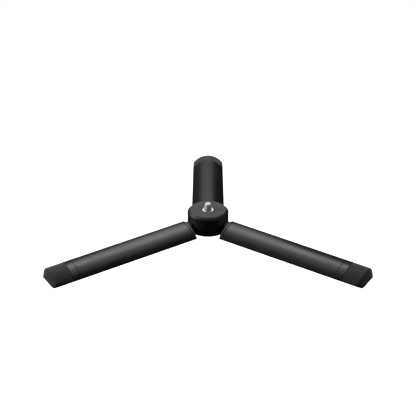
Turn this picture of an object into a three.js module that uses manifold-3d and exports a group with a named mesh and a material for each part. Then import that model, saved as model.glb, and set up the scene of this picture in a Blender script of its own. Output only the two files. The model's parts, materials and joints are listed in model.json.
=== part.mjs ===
// Folding tabletop tripod: a round hub with a 1/4 inch camera stud and three hinged legs.
// Millimetres, +Z up. The origin is the centre of the hub's flat underside.
// The legs stand spread, resting on their stops. Folded down, they close to one round grip.
import * as THREE from 'three';
import { LoftGeometry } from 'three/addons/geometries/LoftGeometry.js';
import { mergeVertices } from 'three/addons/utils/BufferGeometryUtils.js';
import Module from 'manifold-3d';

const wasm = await Module();
wasm.setup();

// Hub
const hubRadius = 18;
const hubHeight = 18.4;          // underside to the camera seat
const hubRimHeight = 18.2;       // the pad stands a little proud of the rim
const hubTopBevel = 1.7;
const hubFootBevel = 1.15;
const padRadius = 15.75;
const padThickness = 0.85;
const coverRadius = 15.8;
const coverThickness = 2;
const coverScrewCircle = 12.3;
const coverScrewLength = 7.5;

// Camera stud, 1/4-20 UNC
const studRadius = 3.175;
const studStandOut = 5.7;
const studTipRadius = 2.3;
const studTipLength = 0.9;
const studFootHeight = 2.6;
const flangeRadius = 5.65;
const flangeThickness = 1.9;
const flangeDrop = 0.05;         // below the camera seat
const nutAcrossFlats = 11.1;
const nutThickness = 5.6;
const nutBottom = 2.5;
const lockWasherThickness = 0.7;

// Hinges
const legAzimuths = { right: -30, rear: 90, left: 210 };   // degrees from +X
const legTilt = 4.1;             // degrees below level at rest
const pivotRadius = 13.3;
const pivotHeight = 5.85;
const pinRadius = 1.5;
const pinLength = 18.4;
const knuckleRadius = 4;
const tongueWidth = 8.2;
const washerThickness = 0.8;
const washerRadius = 3.6;
const slotWidth = 10.4;
const slotClearance = 0.4;
const stopClearance = 0.25;      // between the tongue's top and the slot's roof at rest

// Legs: distances along a leg start at the hinge block's end face
const blockReach = 6.45;         // from the pivot to that end face
const legSide = 14.6;            // half of the width
const legFloor = 6.9;            // height of the underside over the folded bundle's axis
const legGap = 0.3;              // from a flank to the plane between two folded legs
const collarLength = 2.75;
const shellEnd = 110.2;
const bandEnd = 116.75;
const legLength = 134.3;
const shellWall = 1.5;
const linerWall = 1.6;
const bandWall = 1.5;
const footWall = 2.6;
const footUnderWall = 1.6;        // over the flanks and the plug's underside
const footFloor = 4.8;
const footPocketEnd = 126.5;
const footCrown = { length: 3.7, depth: 9, power: 1.09 };  // the crown slants down to the tip
const footSides = { length: 6, depth: 4.1, power: 1.5 };   // power 1 is a bevel, 2 an ellipse
const footFloorRise = 3.4;
const groundHeight = -11.2;      // the plane that the feet stand on
const tenonEnd = 17;
const plugStart = 96;
const blockScrewAt = 10;
const plugScrewAt = 103;

// Screws and running gaps
const gap = 0.2;
const seam = 0.25;
const screwHeadRadius = 2.1;
const screwShankRadius = 1;
const screwHeadHeight = 1.1;
const legScrewLength = 5.2;
const hubSteps = 48;
const roundSteps = 24;
const smallSteps = 12;
const arcSteps = 12;

const bundleAngle = Math.PI / 3; // half of each leg's share of the bundle
const farOut = 14;               // cutters run this far past what they cut

function finish(color, roughness, metalness) {
  return new THREE.MeshStandardMaterial({ color, roughness, metalness });
}
const hubBlack = () => finish(0x17171a, 0.42, 0.0);
const shellBlack = () => finish(0x2a2a2c, 0.45, 0.7);
const blockBlack = () => finish(0x242426, 0.5, 0.2);
const linerBlack = () => finish(0x1a1a1b, 0.6, 0.0);
const rubberBlack = () => finish(0x2e2e2f, 0.85, 0.0);
const padGrey = () => finish(0x4a4a4b, 0.8, 0.0);
const nickel = () => finish(0xd8d8d6, 0.2, 1.0);
const steel = () => finish(0x8f9193, 0.35, 1.0);
const washerWhite = () => finish(0xd9d6cc, 0.55, 0.0);

// A closed geometry as a solid, for cutting and joining.
function toSolid(geometry) {
  const bare = new THREE.BufferGeometry();
  bare.setAttribute('position', geometry.getAttribute('position'));
  bare.setIndex(geometry.getIndex());
  const merged = mergeVertices(bare, 1e-5);
  const index = merged.index.array;
  const corners = [];
  for (let i = 0; i < index.length; i += 3) {
    const [a, b, c] = [index[i], index[i + 1], index[i + 2]];
    if (a !== b && b !== c && c !== a) corners.push(a, b, c);
  }
  const vertProperties = new Float32Array(merged.attributes.position.array);
  const mesh = new wasm.Mesh({ numProp: 3, vertProperties, triVerts: new Uint32Array(corners) });
  return new wasm.Manifold(mesh);
}

function toGeometry(solid) {
  const mesh = solid.getMesh();
  const geometry = new THREE.BufferGeometry();
  geometry.setAttribute('position', new THREE.BufferAttribute(mesh.vertProperties, 3));
  geometry.setIndex(new THREE.BufferAttribute(mesh.triVerts, 1));
  geometry.computeVertexNormals();
  return geometry;
}

const join = (first, ...others) => others.reduce((sum, other) => sum.add(other), first);
const cut = (first, ...others) => others.reduce((rest, other) => rest.subtract(other), first);

// A solid of revolution about Z from [radius, height] points, listed upwards on the outside.
function turned(points, steps = roundSteps) {
  const profile = points.map(([radius, height]) => new THREE.Vector2(radius, height));
  const geometry = new THREE.LatheGeometry(profile, steps);
  geometry.rotateX(Math.PI / 2);
  return toSolid(geometry);
}

function disc(radius, low, high, steps = roundSteps) {
  return turned([[0, low], [radius, low], [radius, high], [0, high]], steps);
}

function ring(inner, outer, low, high, steps = roundSteps) {
  return turned([[inner, low], [outer, low], [outer, high], [inner, high], [inner, low]], steps);
}

function block([x0, x1], [y0, y1], [z0, z1]) {
  const geometry = new THREE.BoxGeometry(x1 - x0, y1 - y0, z1 - z0);
  geometry.translate((x0 + x1) / 2, (y0 + y1) / 2, (z0 + z1) / 2);
  return toSolid(geometry);
}

// A round bar along Y, centred on the pivot.
function crossBar(radius, length, steps = smallSteps) {
  const geometry = new THREE.CylinderGeometry(radius, radius, length, steps);
  return toSolid(geometry);
}

// Where a flank lies: its half width at a height, and its height at a half width.
const flankWidth = (height, flank = legGap) =>
  (height * Math.sin(bundleAngle) - flank) / Math.cos(bundleAngle);
const flankHeight = (side, flank = legGap) =>
  (side * Math.cos(bundleAngle) + flank) / Math.sin(bundleAngle);

// One third of the folded bundle, seen along the leg: an arc above, upright sides, flanks on
// the planes between the legs and a flat underneath. Heights start at the bundle's axis.
function sectorShape({ radius, side, flank, floor }) {
  const edge = Math.asin(side / radius);
  const lip = flankHeight(side, flank);
  const low = flankWidth(floor, flank);
  const shape = new THREE.Shape();
  shape.moveTo(low, floor);
  shape.lineTo(side, lip);
  shape.absarc(0, 0, radius, Math.PI / 2 - edge, Math.PI / 2 + edge, false);
  shape.lineTo(-side, lip);
  shape.lineTo(-low, floor);
  return shape;
}

// The leg's outline moved inwards by one amount above and at the sides, and another below.
const skin = (inset, under = inset) => ({
  radius: hubRadius - inset,
  side: legSide - inset,
  flank: legGap + under,
  floor: legFloor + under,
});

// The shell's outline: the arc with its two lips, open underneath.
function shellShape() {
  const innerRadius = hubRadius - shellWall;
  const innerSide = legSide - shellWall;
  const outerEdge = Math.asin(legSide / hubRadius);
  const innerEdge = Math.asin(innerSide / innerRadius);
  const up = Math.PI / 2;
  const shape = new THREE.Shape();
  shape.moveTo(innerSide, flankHeight(innerSide));
  shape.lineTo(legSide, flankHeight(legSide));
  shape.absarc(0, 0, hubRadius, up - outerEdge, up + outerEdge, false);
  shape.lineTo(-legSide, flankHeight(legSide));
  shape.lineTo(-innerSide, flankHeight(innerSide));
  shape.absarc(0, 0, innerRadius, up + innerEdge, up - innerEdge, true);
  return shape;
}

// An outline extruded along the leg, in the leg's own frame: X outwards from the pivot.
const alongLegBasis = new THREE.Matrix4().makeBasis(
  new THREE.Vector3(0, 1, 0),
  new THREE.Vector3(0, 0, 1),
  new THREE.Vector3(1, 0, 0),
);
function alongLeg(shape, from, to) {
  const settings = { depth: to - from, bevelEnabled: false, curveSegments: arcSteps };
  const geometry = new THREE.ExtrudeGeometry(shape, settings);
  geometry.applyMatrix4(alongLegBasis);
  geometry.translate(blockReach + from, 0, -pivotRadius);
  return toSolid(geometry);
}

// A countersunk screw pointing up from its head's face at height 0, or its hole.
function screwSolid(length, clearance = 0) {
  const head = screwHeadRadius + clearance;
  const shank = screwShankRadius + clearance;
  const start = clearance ? -3 : 0;
  const neck = screwHeadHeight + clearance;
  const end = length + 2 * clearance;
  const flat = 0.15 + clearance;
  return turned([[0, start], [head, start], [head, flat], [shank, neck], [shank, end], [0, end]], smallSteps);
}

function legScrewPlace(solid, at) {
  return solid.translate([blockReach + at, 0, legFloor + 0.15 - pivotRadius]);
}

// What the tongue needs inside the hub, relative to the pivot: its swing and its stop.
function slotCutter(width) {
  const room = knuckleRadius + slotClearance;
  const half = [-width / 2, width / 2];
  const swing = crossBar(room, width, roundSteps);
  const mouth = block([0, farOut], half, [-room, knuckleRadius + stopClearance]);
  const below = block([-room, farOut], half, [-farOut, 0]);
  return join(swing, mouth.rotate([0, legTilt, 0]), below);
}

function pinGroove() {
  const radius = pinRadius + 0.15;
  const length = pinLength + 0.6;
  const drop = block([-radius, radius], [-length / 2, length / 2], [-farOut, 0]);
  return crossBar(radius, length).add(drop);
}

const atHinge = (solid, azimuth) =>
  solid.translate([pivotRadius, 0, pivotHeight]).rotate([0, 0, azimuth]);

const azimuths = Object.values(legAzimuths);
const lobeAngles = azimuths.map((azimuth) => azimuth + 60);
const atLobe = (solid, angle) => solid.translate([coverScrewCircle, 0, 0]).rotate([0, 0, angle]);

function hubBody() {
  const seatTop = hubHeight + farOut;
  const pocketTop = nutBottom + nutThickness + lockWasherThickness + 2 * gap;
  const body = turned([
    [0, 0],
    [hubRadius - hubFootBevel, 0],
    [hubRadius, hubFootBevel],
    [hubRadius, hubRimHeight - hubTopBevel],
    [hubRadius - hubTopBevel, hubRimHeight],
    [0, hubRimHeight],
  ], hubSteps);
  const padRecess = disc(padRadius + gap, hubHeight - padThickness - 0.1, seatTop);
  const coverRecess = disc(coverRadius + 0.3, -farOut, coverThickness + gap);
  const studHole = disc(studRadius + 0.3, -farOut, seatTop, smallSteps);
  const flangeSeat = disc(flangeRadius + gap, hubHeight - flangeDrop - flangeThickness - gap, seatTop);
  const nutPocket = hexBar(nutAcrossFlats / 2 + 0.3, -farOut, pocketTop);
  const slots = azimuths.map((azimuth) => atHinge(slotCutter(slotWidth), azimuth));
  const grooves = azimuths.map((azimuth) => atHinge(pinGroove(), azimuth));
  const pilots = lobeAngles.map((angle) => atLobe(screwSolid(coverScrewLength, gap), angle));
  return cut(body, padRecess, coverRecess, studHole, flangeSeat, nutPocket, ...slots, ...grooves, ...pilots);
}

// A hexagonal bar about Z, sized by the distance from its axis to a flat.
function hexBar(flat, low, high) {
  return disc(flat / Math.cos(Math.PI / 6), low, high, 6);
}

// The cover that closes the hub from below; its posts hold the hinge pins up in their grooves.
function baseCover() {
  const plate = disc(coverRadius, 0, coverThickness);
  const room = knuckleRadius + slotClearance;
  const postTop = pivotHeight - pinRadius - gap;
  const side = slotWidth / 2 + 0.6;
  const postWidth = [pivotRadius - 1.2, pivotRadius + 1.2];
  const nearPost = block(postWidth, [side, side + 3], [1, postTop]);
  const farPost = block(postWidth, [-side - 3, -side], [1, postTop]);
  const slot = block([pivotRadius - room, 2 * farOut], [-slotWidth / 2, slotWidth / 2], [-1, 3]);
  const posts = azimuths.flatMap((azimuth) => [nearPost, farPost].map((post) => post.rotate([0, 0, azimuth])));
  const slots = azimuths.map((azimuth) => slot.rotate([0, 0, azimuth]));
  const holes = lobeAngles.map((angle) => atLobe(screwSolid(coverScrewLength, gap), angle));
  return cut(join(plate, ...posts), ...slots, ...holes);
}

function topPad() {
  const low = hubHeight - padThickness;
  const hole = flangeRadius + 0.35;
  return turned([
    [hole, low],
    [padRadius, low],
    [padRadius, hubHeight - 0.15],
    [padRadius - 0.15, hubHeight],
    [hole, hubHeight],
    [hole, low],
  ], roundSteps);
}

function cameraStud() {
  const top = hubHeight + studStandOut;
  return turned([
    [0, studFootHeight],
    [studRadius - 0.3, studFootHeight],
    [studRadius, studFootHeight + 0.3],
    [studRadius, top - studTipLength],
    [studTipRadius, top],
    [0, top],
  ], 24);
}

function studFlange() {
  const top = hubHeight - flangeDrop;
  const bore = studRadius + gap;
  return turned([
    [bore, top - flangeThickness],
    [flangeRadius, top - flangeThickness],
    [flangeRadius, top - 0.2],
    [flangeRadius - 0.2, top],
    [bore, top],
    [bore, top - flangeThickness],
  ], 32);
}

function studNut() {
  const bore = disc(studRadius + gap, 0, farOut, smallSteps);
  return cut(hexBar(nutAcrossFlats / 2, nutBottom, nutBottom + nutThickness), bore);
}

function lockWasher() {
  const low = nutBottom + nutThickness + gap;
  return ring(studRadius + gap, nutAcrossFlats / 2 - 0.1, low, low + lockWasherThickness, 24);
}

// The hinge block: the tongue in the hub, the collar at the leg's end, the tenon in the liner.
function hingeBlock() {
  const half = [-tongueWidth / 2, tongueWidth / 2];
  const knuckle = crossBar(knuckleRadius, tongueWidth, roundSteps);
  const arm = block([0, blockReach + 1], half, [-knuckleRadius, knuckleRadius]);
  const collar = alongLeg(sectorShape(skin(0, 0)), 0, collarLength);
  const tenonSkin = skin(shellWall + linerWall + 2 * gap, linerWall + gap);
  const tenon = alongLeg(sectorShape(tenonSkin), collarLength - 1, tenonEnd);
  const pinHole = crossBar(pinRadius + 0.12, tongueWidth + 2);
  const screwHole = legScrewPlace(screwSolid(legScrewLength, gap), blockScrewAt);
  return cut(join(knuckle, arm, collar, tenon), pinHole, screwHole);
}

function legShell() {
  return alongLeg(shellShape(), collarLength + seam, shellEnd);
}

// The liner: a closed channel inside the shell that carries the load; its floor is the underside.
function legLiner() {
  const outer = skin(shellWall + gap, 0);
  const inner = skin(shellWall + gap + linerWall, linerWall);
  const start = collarLength + seam;
  const tube = alongLeg(sectorShape(outer), start, shellEnd);
  const hollow = alongLeg(sectorShape(inner), start - 1, shellEnd + 1);
  const holes = [blockScrewAt, plugScrewAt].map((at) => legScrewPlace(screwSolid(legScrewLength, gap), at));
  return cut(tube, hollow, ...holes);
}

function legBand() {
  const outer = alongLeg(sectorShape(skin(0, 0)), shellEnd + seam, bandEnd);
  const bore = alongLeg(sectorShape(skin(bandWall)), shellEnd, bandEnd + 1);
  return cut(outer, bore);
}

// The plug joins the liner, the band and the rubber foot.
function footPlug() {
  const tenonSkin = skin(shellWall + linerWall + 2 * gap, linerWall + gap);
  const tenon = alongLeg(sectorShape(tenonSkin), plugStart, shellEnd + 1);
  const middle = alongLeg(sectorShape(skin(bandWall + gap)), shellEnd + seam, bandEnd);
  const spigot = alongLeg(sectorShape(skin(footWall + gap, footUnderWall + gap)), bandEnd - 1, footPocketEnd - gap);
  const screwHole = legScrewPlace(screwSolid(legScrewLength, gap), plugScrewAt);
  return cut(join(tenon, middle, spigot), screwHole);
}

// How far a rounding at the tip has come in at a distance along the leg.
function inset({ length, depth, power }, along) {
  const step = Math.max(0, Math.min(1, 1 - (legLength - along) / length));
  return depth * (1 - (1 - step ** power) ** (1 / power));
}

// The foot's outline at a distance along the leg.
function footSection(along) {
  const side = legSide - inset(footSides, along);
  const drop = inset(footCrown, along);
  const floor = footFloor + footFloorRise * drop / footCrown.depth;
  const low = Math.min(flankWidth(floor), side - gap);
  const lip = Math.max(flankHeight(side), floor + gap / 2);
  const edge = Math.asin(side / hubRadius);
  const outline = [[low, floor], [side, lip]];
  for (let i = 0; i <= arcSteps; i++) {
    const angle = edge * (1 - 2 * i / arcSteps);
    const height = (hubRadius - drop) * Math.cos(angle);
    outline.push([hubRadius * Math.sin(angle), Math.max(height, lip + gap / 2)]);
  }
  outline.push([-side, lip], [-low, floor]);
  return outline.map(([y, z]) => new THREE.Vector3(blockReach + along, y, z - pivotRadius));
}

// The rubber foot: soft all round its tip, flat on the ground when the leg is spread.
function rubberFoot() {
  const fromTip = [footSides.length, footCrown.length, 2.6, 1.6, 0.7, 0.2, 0];
  const stations = [bandEnd + seam, ...fromTip.map((distance) => legLength - distance)];
  const sections = stations.map(footSection);
  const solid = toSolid(new LoftGeometry(sections, { capStart: true, capEnd: true }));
  const pocketSkin = skin(footWall, footUnderWall);
  const pocket = alongLeg(sectorShape(pocketSkin), bandEnd, footPocketEnd);
  const ground = block([-10, 200], [-20, 20], [-20, groundHeight - pivotHeight]);
  return cut(solid, pocket, ground.rotate([0, -legTilt, 0]));
}

function named(name, solid, material) {
  const mesh = new THREE.Mesh(toGeometry(solid), material);
  mesh.name = name;
  return mesh;
}

function hub() {
  const group = new THREE.Group();
  group.add(named('hub_body', hubBody(), hubBlack()));
  group.add(named('base_cover', baseCover(), linerBlack()));
  group.add(named('top_pad', topPad(), padGrey()));
  group.add(named('camera_stud', cameraStud(), nickel()));
  group.add(named('stud_flange', studFlange(), nickel()));
  group.add(named('stud_nut', studNut(), steel()));
  group.add(named('stud_lock_washer', lockWasher(), steel()));
  lobeAngles.forEach((angle, i) => {
    const screw = atLobe(screwSolid(coverScrewLength), angle).translate([0, 0, 0.1]);
    group.add(named(`cover_screw_${i + 1}`, screw, steel()));
  });
  return group;
}

// The pin and its friction washers stay with the hub.
function hingeFittings(name) {
  const group = new THREE.Group();
  group.add(named(`${name}_hinge_pin`, crossBar(pinRadius, pinLength), steel()));
  [['outer', 1], ['inner', -1]].forEach(([side, sign]) => {
    const low = tongueWidth / 2 + 0.15;
    const washer = ring(pinRadius + 0.15, washerRadius, low, low + washerThickness, 24);
    const mesh = named(`${name}_friction_washer_${side}`, washer, washerWhite());
    mesh.rotation.x = -sign * Math.PI / 2;
    group.add(mesh);
  });
  return group;
}

function leg(name) {
  const group = new THREE.Group();
  const screw = (at) => legScrewPlace(screwSolid(legScrewLength), at);
  group.add(named(`${name}_hinge_block`, hingeBlock(), blockBlack()));
  group.add(named(`${name}_leg_shell`, legShell(), shellBlack()));
  group.add(named(`${name}_leg_liner`, legLiner(), linerBlack()));
  group.add(named(`${name}_leg_band`, legBand(), shellBlack()));
  group.add(named(`${name}_foot_plug`, footPlug(), linerBlack()));
  group.add(named(`${name}_rubber_foot`, rubberFoot(), rubberBlack()));
  group.add(named(`${name}_block_screw`, screw(blockScrewAt), steel()));
  group.add(named(`${name}_plug_screw`, screw(plugScrewAt), steel()));
  group.rotation.y = THREE.MathUtils.degToRad(legTilt);
  return group;
}

function tripod() {
  const group = new THREE.Group();
  group.add(hub());
  for (const [name, azimuth] of Object.entries(legAzimuths)) {
    const place = new THREE.Group();
    const hinge = new THREE.Group();
    hinge.position.set(pivotRadius, 0, pivotHeight);
    hinge.add(hingeFittings(name), leg(name));
    place.rotation.z = THREE.MathUtils.degToRad(azimuth);
    place.add(hinge);
    group.add(place);
  }
  return group;
}

export default tripod();
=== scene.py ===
import json
import math
import bpy
from mathutils import Matrix, Vector


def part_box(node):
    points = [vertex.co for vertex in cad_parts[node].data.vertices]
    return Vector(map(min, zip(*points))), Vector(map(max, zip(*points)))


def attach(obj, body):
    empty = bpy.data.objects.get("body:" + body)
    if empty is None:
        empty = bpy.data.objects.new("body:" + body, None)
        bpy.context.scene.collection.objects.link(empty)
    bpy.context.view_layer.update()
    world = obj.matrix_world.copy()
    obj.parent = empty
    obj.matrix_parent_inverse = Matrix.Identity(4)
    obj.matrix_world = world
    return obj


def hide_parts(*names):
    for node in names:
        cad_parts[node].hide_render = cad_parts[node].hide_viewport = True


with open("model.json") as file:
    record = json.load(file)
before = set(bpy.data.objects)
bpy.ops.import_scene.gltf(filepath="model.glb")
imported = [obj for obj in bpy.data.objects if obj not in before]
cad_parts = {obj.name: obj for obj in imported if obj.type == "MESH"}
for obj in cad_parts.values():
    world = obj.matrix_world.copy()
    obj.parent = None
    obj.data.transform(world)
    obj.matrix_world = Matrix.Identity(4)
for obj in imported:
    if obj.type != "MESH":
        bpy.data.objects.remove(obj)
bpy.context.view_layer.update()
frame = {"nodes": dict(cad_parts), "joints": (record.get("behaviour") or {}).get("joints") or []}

mm = 0.001
creases = {"solid": 38, "copies": 35, "foot": 50}  # degrees; flatter edges are shaded smooth
legNames = [joint["name"].replace("_leg_fold", "") for joint in frame["joints"]]
joints = {joint["name"].replace("_leg_fold", ""): joint for joint in frame["joints"]}

cameraSpec = {
    "lens": 101.72,
    "elevation": 27.25,  # degrees above the horizon
    "distance": 1029.4,  # mm, to the middle of the camera seat
    "rise": 1.08,  # mm, shifts the view up a little
}


def makeCamera():
    tilt = math.radians(cameraSpec["elevation"])
    forward = Vector((0, math.cos(tilt), -math.sin(tilt)))
    up = Vector((0, math.sin(tilt), math.cos(tilt)))
    seat = Vector((0, 0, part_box("top_pad")[1].z))
    data = bpy.data.cameras.new("camera")
    data.lens = cameraSpec["lens"]
    data.clip_start = 0.01
    data.clip_end = 20
    camera = bpy.data.objects.new("camera", data)
    camera.location = seat - forward * cameraSpec["distance"] * mm + up * cameraSpec["rise"] * mm
    camera.rotation_euler = (math.radians(90) - tilt, 0, 0)
    bpy.context.scene.collection.objects.link(camera)
    bpy.context.scene.camera = camera


# place in metres, size across and upwards in metres, watts
softboxes = {
    "backSoftbox": ((0.0, 0.45, 0.85), 0.8, 0.4, 3.6),
    "topSoftbox": ((0.0, 0.0, 0.95), 0.9, 0.65, 1.7),
    "rearStrip": ((-0.04, 0.85, 0.28), 0.4, 0.34, 0.16),
    "rearPanel": ((-0.04, 0.4, 0.34), 0.35, 0.2, 0.4),
    "backLeftSoftbox": ((-0.65, 0.55, 0.6), 0.5, 0.5, 0.9),
    "leftPanel": ((-0.76, 0.1, 0.58), 0.35, 0.35, 2.1),
    "leftLowPanel": ((-0.88, -0.1, 0.17), 0.4, 0.27, 2.5),
    "rightLowPanel": ((0.9, -0.1, 0.16), 0.4, 0.25, 1.3),
    "frontLeftPanel": ((-0.6, -0.7, 0.3), 0.4, 0.3, 0.2),
}
worldSpec = {"tone": (0.95, 0.97, 1.0, 1), "strength": 0.008}
floorSpec = {
    "tone": (0.9, 0.9, 0.9, 1),
    "size": 12,  # metres
    "glow": 0.95,  # lit from below, like a light table
    "below": 136,  # mm under the hub, low enough for the legs to fold down
}


def makeLights():
    for name, (place, across, upwards, watts) in softboxes.items():
        data = bpy.data.lights.new(name, "AREA")
        data.shape = "RECTANGLE"
        data.size = across
        data.size_y = upwards
        data.energy = watts
        light = bpy.data.objects.new(name, data)
        light.location = place
        light.visible_camera = False
        light.rotation_euler = (-Vector(place)).to_track_quat("-Z", "Y").to_euler()
        bpy.context.scene.collection.objects.link(light)
    world = bpy.data.worlds.new("studio")
    world.use_nodes = True
    background = world.node_tree.nodes["Background"]
    background.inputs["Color"].default_value = worldSpec["tone"]
    background.inputs["Strength"].default_value = worldSpec["strength"]
    bpy.context.scene.world = world
    bpy.context.scene.view_settings.view_transform = "Standard"


makeCamera()
makeLights()
print("camera and lights set")


def addNode(tree, kind, inputs=None, **settings):
    node = tree.nodes.new(kind)
    for name, value in settings.items():
        setattr(node, name, value)
    for socket, value in (inputs or {}).items():
        if isinstance(value, bpy.types.NodeSocket):
            tree.links.new(value, node.inputs[socket])
        else:
            node.inputs[socket].default_value = value
    return node


def newMaterial(name, metallic, roughness, specular=0.5):
    material = bpy.data.materials.new(name)
    material.use_nodes = True
    shader = material.node_tree.nodes["Principled BSDF"]
    shader.inputs["Metallic"].default_value = metallic
    shader.inputs["Roughness"].default_value = roughness
    shader.inputs["Specular IOR Level"].default_value = specular
    return material, material.node_tree, shader


def noise(tree, place, size, detail=2.0, stretch=None):
    # size is the width of one grain in mm; stretch lengthens it along each axis
    if stretch:
        scale = tuple(1 / part for part in stretch)
        place = addNode(tree, "ShaderNodeMapping", {"Vector": place, "Scale": scale}).outputs[0]
    values = {"Vector": place, "Scale": 1 / (size * mm), "Detail": detail}
    return addNode(tree, "ShaderNodeTexNoise", values).outputs["Fac"]


def remap(tree, value, low, high, toLow, toHigh):
    values = {"Value": value, "From Min": low, "From Max": high, "To Min": toLow, "To Max": toHigh}
    return addNode(tree, "ShaderNodeMapRange", values).outputs["Result"]


def calculate(tree, operation, first, second):
    return addNode(tree, "ShaderNodeMath", {0: first, 1: second}, operation=operation).outputs[0]


def blendTones(tree, amount, first, second):
    return addNode(tree, "ShaderNodeMix", {0: amount, 6: first, 7: second}, data_type="RGBA").outputs[2]


def bump(tree, height, depth, below=None):
    # depth in mm
    values = {"Height": height, "Strength": 1.0, "Distance": depth * mm}
    if below is not None:
        values["Normal"] = below
    return addNode(tree, "ShaderNodeBump", values).outputs["Normal"]


def objectPlace(tree):
    return addNode(tree, "ShaderNodeTexCoord").outputs["Object"]


def ownValue(tree, name, output="Fac"):
    return addNode(tree, "ShaderNodeAttribute", attribute_name=name).outputs[output]


def grey(tone):
    return (tone, tone, tone, 1)


# moulded and rubber finishes: two tones, roughness range, grain and its depth in mm, edge wear
mouldedFinishes = {
    "hubBlack": {"tones": (0.0085, 0.0115), "rough": (0.42, 0.5), "grain": 0.22, "depth": 0.004,
                 "wear": 0.035, "specular": 0.5, "sheen": 0},
    "blockBlack": {"tones": (0.009, 0.013), "rough": (0.36, 0.44), "grain": 0.2, "depth": 0.006,
                   "wear": 0.05, "specular": 0.5, "sheen": 0},
    "linerBlack": {"tones": (0.010, 0.014), "rough": (0.48, 0.6), "grain": 0.3, "depth": 0.010,
                   "wear": 0.03, "specular": 0.5, "sheen": 0},
    "footRubber": {"tones": (0.020, 0.028), "rough": (0.66, 0.8), "grain": 0.35, "depth": 0.012,
                   "wear": 0.03, "specular": 0.35, "sheen": 0.7},
    "seatRubber": {"tones": (0.070, 0.078), "rough": (0.7, 0.8), "grain": 0.25, "depth": 0.008,
                   "wear": 0.09, "specular": 0.3, "sheen": 0},
}


def mouldedMaterial(name, spec):
    material, tree, shader = newMaterial(name, 0.0, spec["rough"][0], spec["specular"])
    shader.inputs["Sheen Weight"].default_value = spec["sheen"]
    shader.inputs["Sheen Roughness"].default_value = 0.3
    place = objectPlace(tree)
    cloud = noise(tree, place, 14, 3)
    grain = noise(tree, place, spec["grain"], 2)
    speck = noise(tree, place, spec["grain"] * 5, 4)
    low, high = spec["tones"]
    base = blendTones(tree, remap(tree, cloud, 0.35, 0.65, 0, 1), grey(low), grey(high))
    dust = remap(tree, speck, 0.62, 0.78, 0, 0.25)
    base = blendTones(tree, dust, base, grey(high * 1.6))
    wornAndHighlit = calculate(tree, "MULTIPLY", ownValue(tree, "wear"), remap(tree, speck, 0.35, 0.7, 0.15, 0.9))
    tree.links.new(blendTones(tree, wornAndHighlit, base, grey(spec["wear"])), shader.inputs["Base Color"])
    smear = calculate(tree, "ADD", remap(tree, cloud, 0.3, 0.7, *spec["rough"]),
                      remap(tree, grain, 0.2, 0.8, -0.04, 0.04))
    tree.links.new(smear, shader.inputs["Roughness"])
    fine = bump(tree, grain, spec["depth"])
    tree.links.new(bump(tree, speck, spec["depth"] * 0.8, fine), shader.inputs["Normal"])
    return material


anodisedSpec = {
    "tones": (0.0065, 0.0095),
    "rough": (0.32, 0.39),
    "streak": 0.10,  # mm across; streaks run along the leg
    "grain": 0.12,
    "depth": 0.003,
    # tone of the lighter edges: worn anodising, and a painted highlight on the lower lip
    "wear": 0.12,
}


def anodisedMaterial(name, spec):
    material, tree, shader = newMaterial(name, 0.0, spec["rough"][0], 0.6)
    place = objectPlace(tree)
    flow = ownValue(tree, "flow", "Vector")
    streak = noise(tree, flow, spec["streak"], 2, stretch=(160, 1, 1))
    band = noise(tree, flow, 3.0, 2, stretch=(30, 1, 1))
    grain = noise(tree, place, spec["grain"], 2)
    cloud = noise(tree, place, 18, 4)
    low, high = spec["tones"]
    base = blendTones(tree, remap(tree, cloud, 0.35, 0.65, 0, 1), grey(low), grey(high))
    base = blendTones(tree, remap(tree, streak, 0.55, 0.8, 0, 0.3), base, grey(high * 1.5))
    # Edges turn lighter: real chipped anodising, and along the shell's lower lip also a painted highlight
    chips = remap(tree, noise(tree, place, 1.1, 4), 0.5, 0.62, 0, 1)
    wornAndHighlit = calculate(tree, "MULTIPLY", ownValue(tree, "wear"), chips)
    wornAndHighlit = calculate(tree, "MULTIPLY", wornAndHighlit, 0.5)
    tree.links.new(blendTones(tree, wornAndHighlit, base, grey(spec["wear"])), shader.inputs["Base Color"])
    smear = calculate(tree, "ADD", remap(tree, cloud, 0.3, 0.7, *spec["rough"]),
                      remap(tree, band, 0.3, 0.7, -0.025, 0.025))
    smear = calculate(tree, "ADD", smear, remap(tree, grain, 0.2, 0.8, -0.03, 0.03))
    tree.links.new(smear, shader.inputs["Roughness"])
    fine = bump(tree, grain, spec["depth"])
    tree.links.new(bump(tree, streak, spec["depth"] * 0.5, fine), shader.inputs["Normal"])
    return material


# metals: tone, roughness range, size of the turning marks or scratches in mm and their depth
metalFinishes = {
    "nickel": {"tone": (0.80, 0.79, 0.76, 1), "rough": (0.13, 0.24), "marks": 0.12, "depth": 0.0015},
    "threadSteel": {"tone": (0.62, 0.62, 0.6, 1), "rough": (0.46, 0.54), "marks": 0.1, "depth": 0.002},
    "steel": {"tone": (0.42, 0.42, 0.43, 1), "rough": (0.28, 0.42), "marks": 0.15, "depth": 0.003},
}


def metalMaterial(name, spec):
    material, tree, shader = newMaterial(name, 1.0, spec["rough"][0])
    place = objectPlace(tree)
    marks = noise(tree, place, spec["marks"], 3, stretch=(6, 6, 1))
    cloud = noise(tree, place, 4, 3)
    darker = tuple(part * 0.82 for part in spec["tone"][:3]) + (1,)
    tone = blendTones(tree, remap(tree, cloud, 0.4, 0.7, 0, 1), spec["tone"], darker)
    tree.links.new(tone, shader.inputs["Base Color"])
    rough = calculate(tree, "ADD", remap(tree, cloud, 0.3, 0.7, *spec["rough"]),
                      remap(tree, marks, 0.3, 0.7, -0.04, 0.06))
    tree.links.new(rough, shader.inputs["Roughness"])
    tree.links.new(bump(tree, marks, spec["depth"]), shader.inputs["Normal"])
    return material


acetalSpec = {"tones": ((0.70, 0.68, 0.62, 1), (0.60, 0.575, 0.51, 1)), "rough": (0.4, 0.55)}


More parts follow.
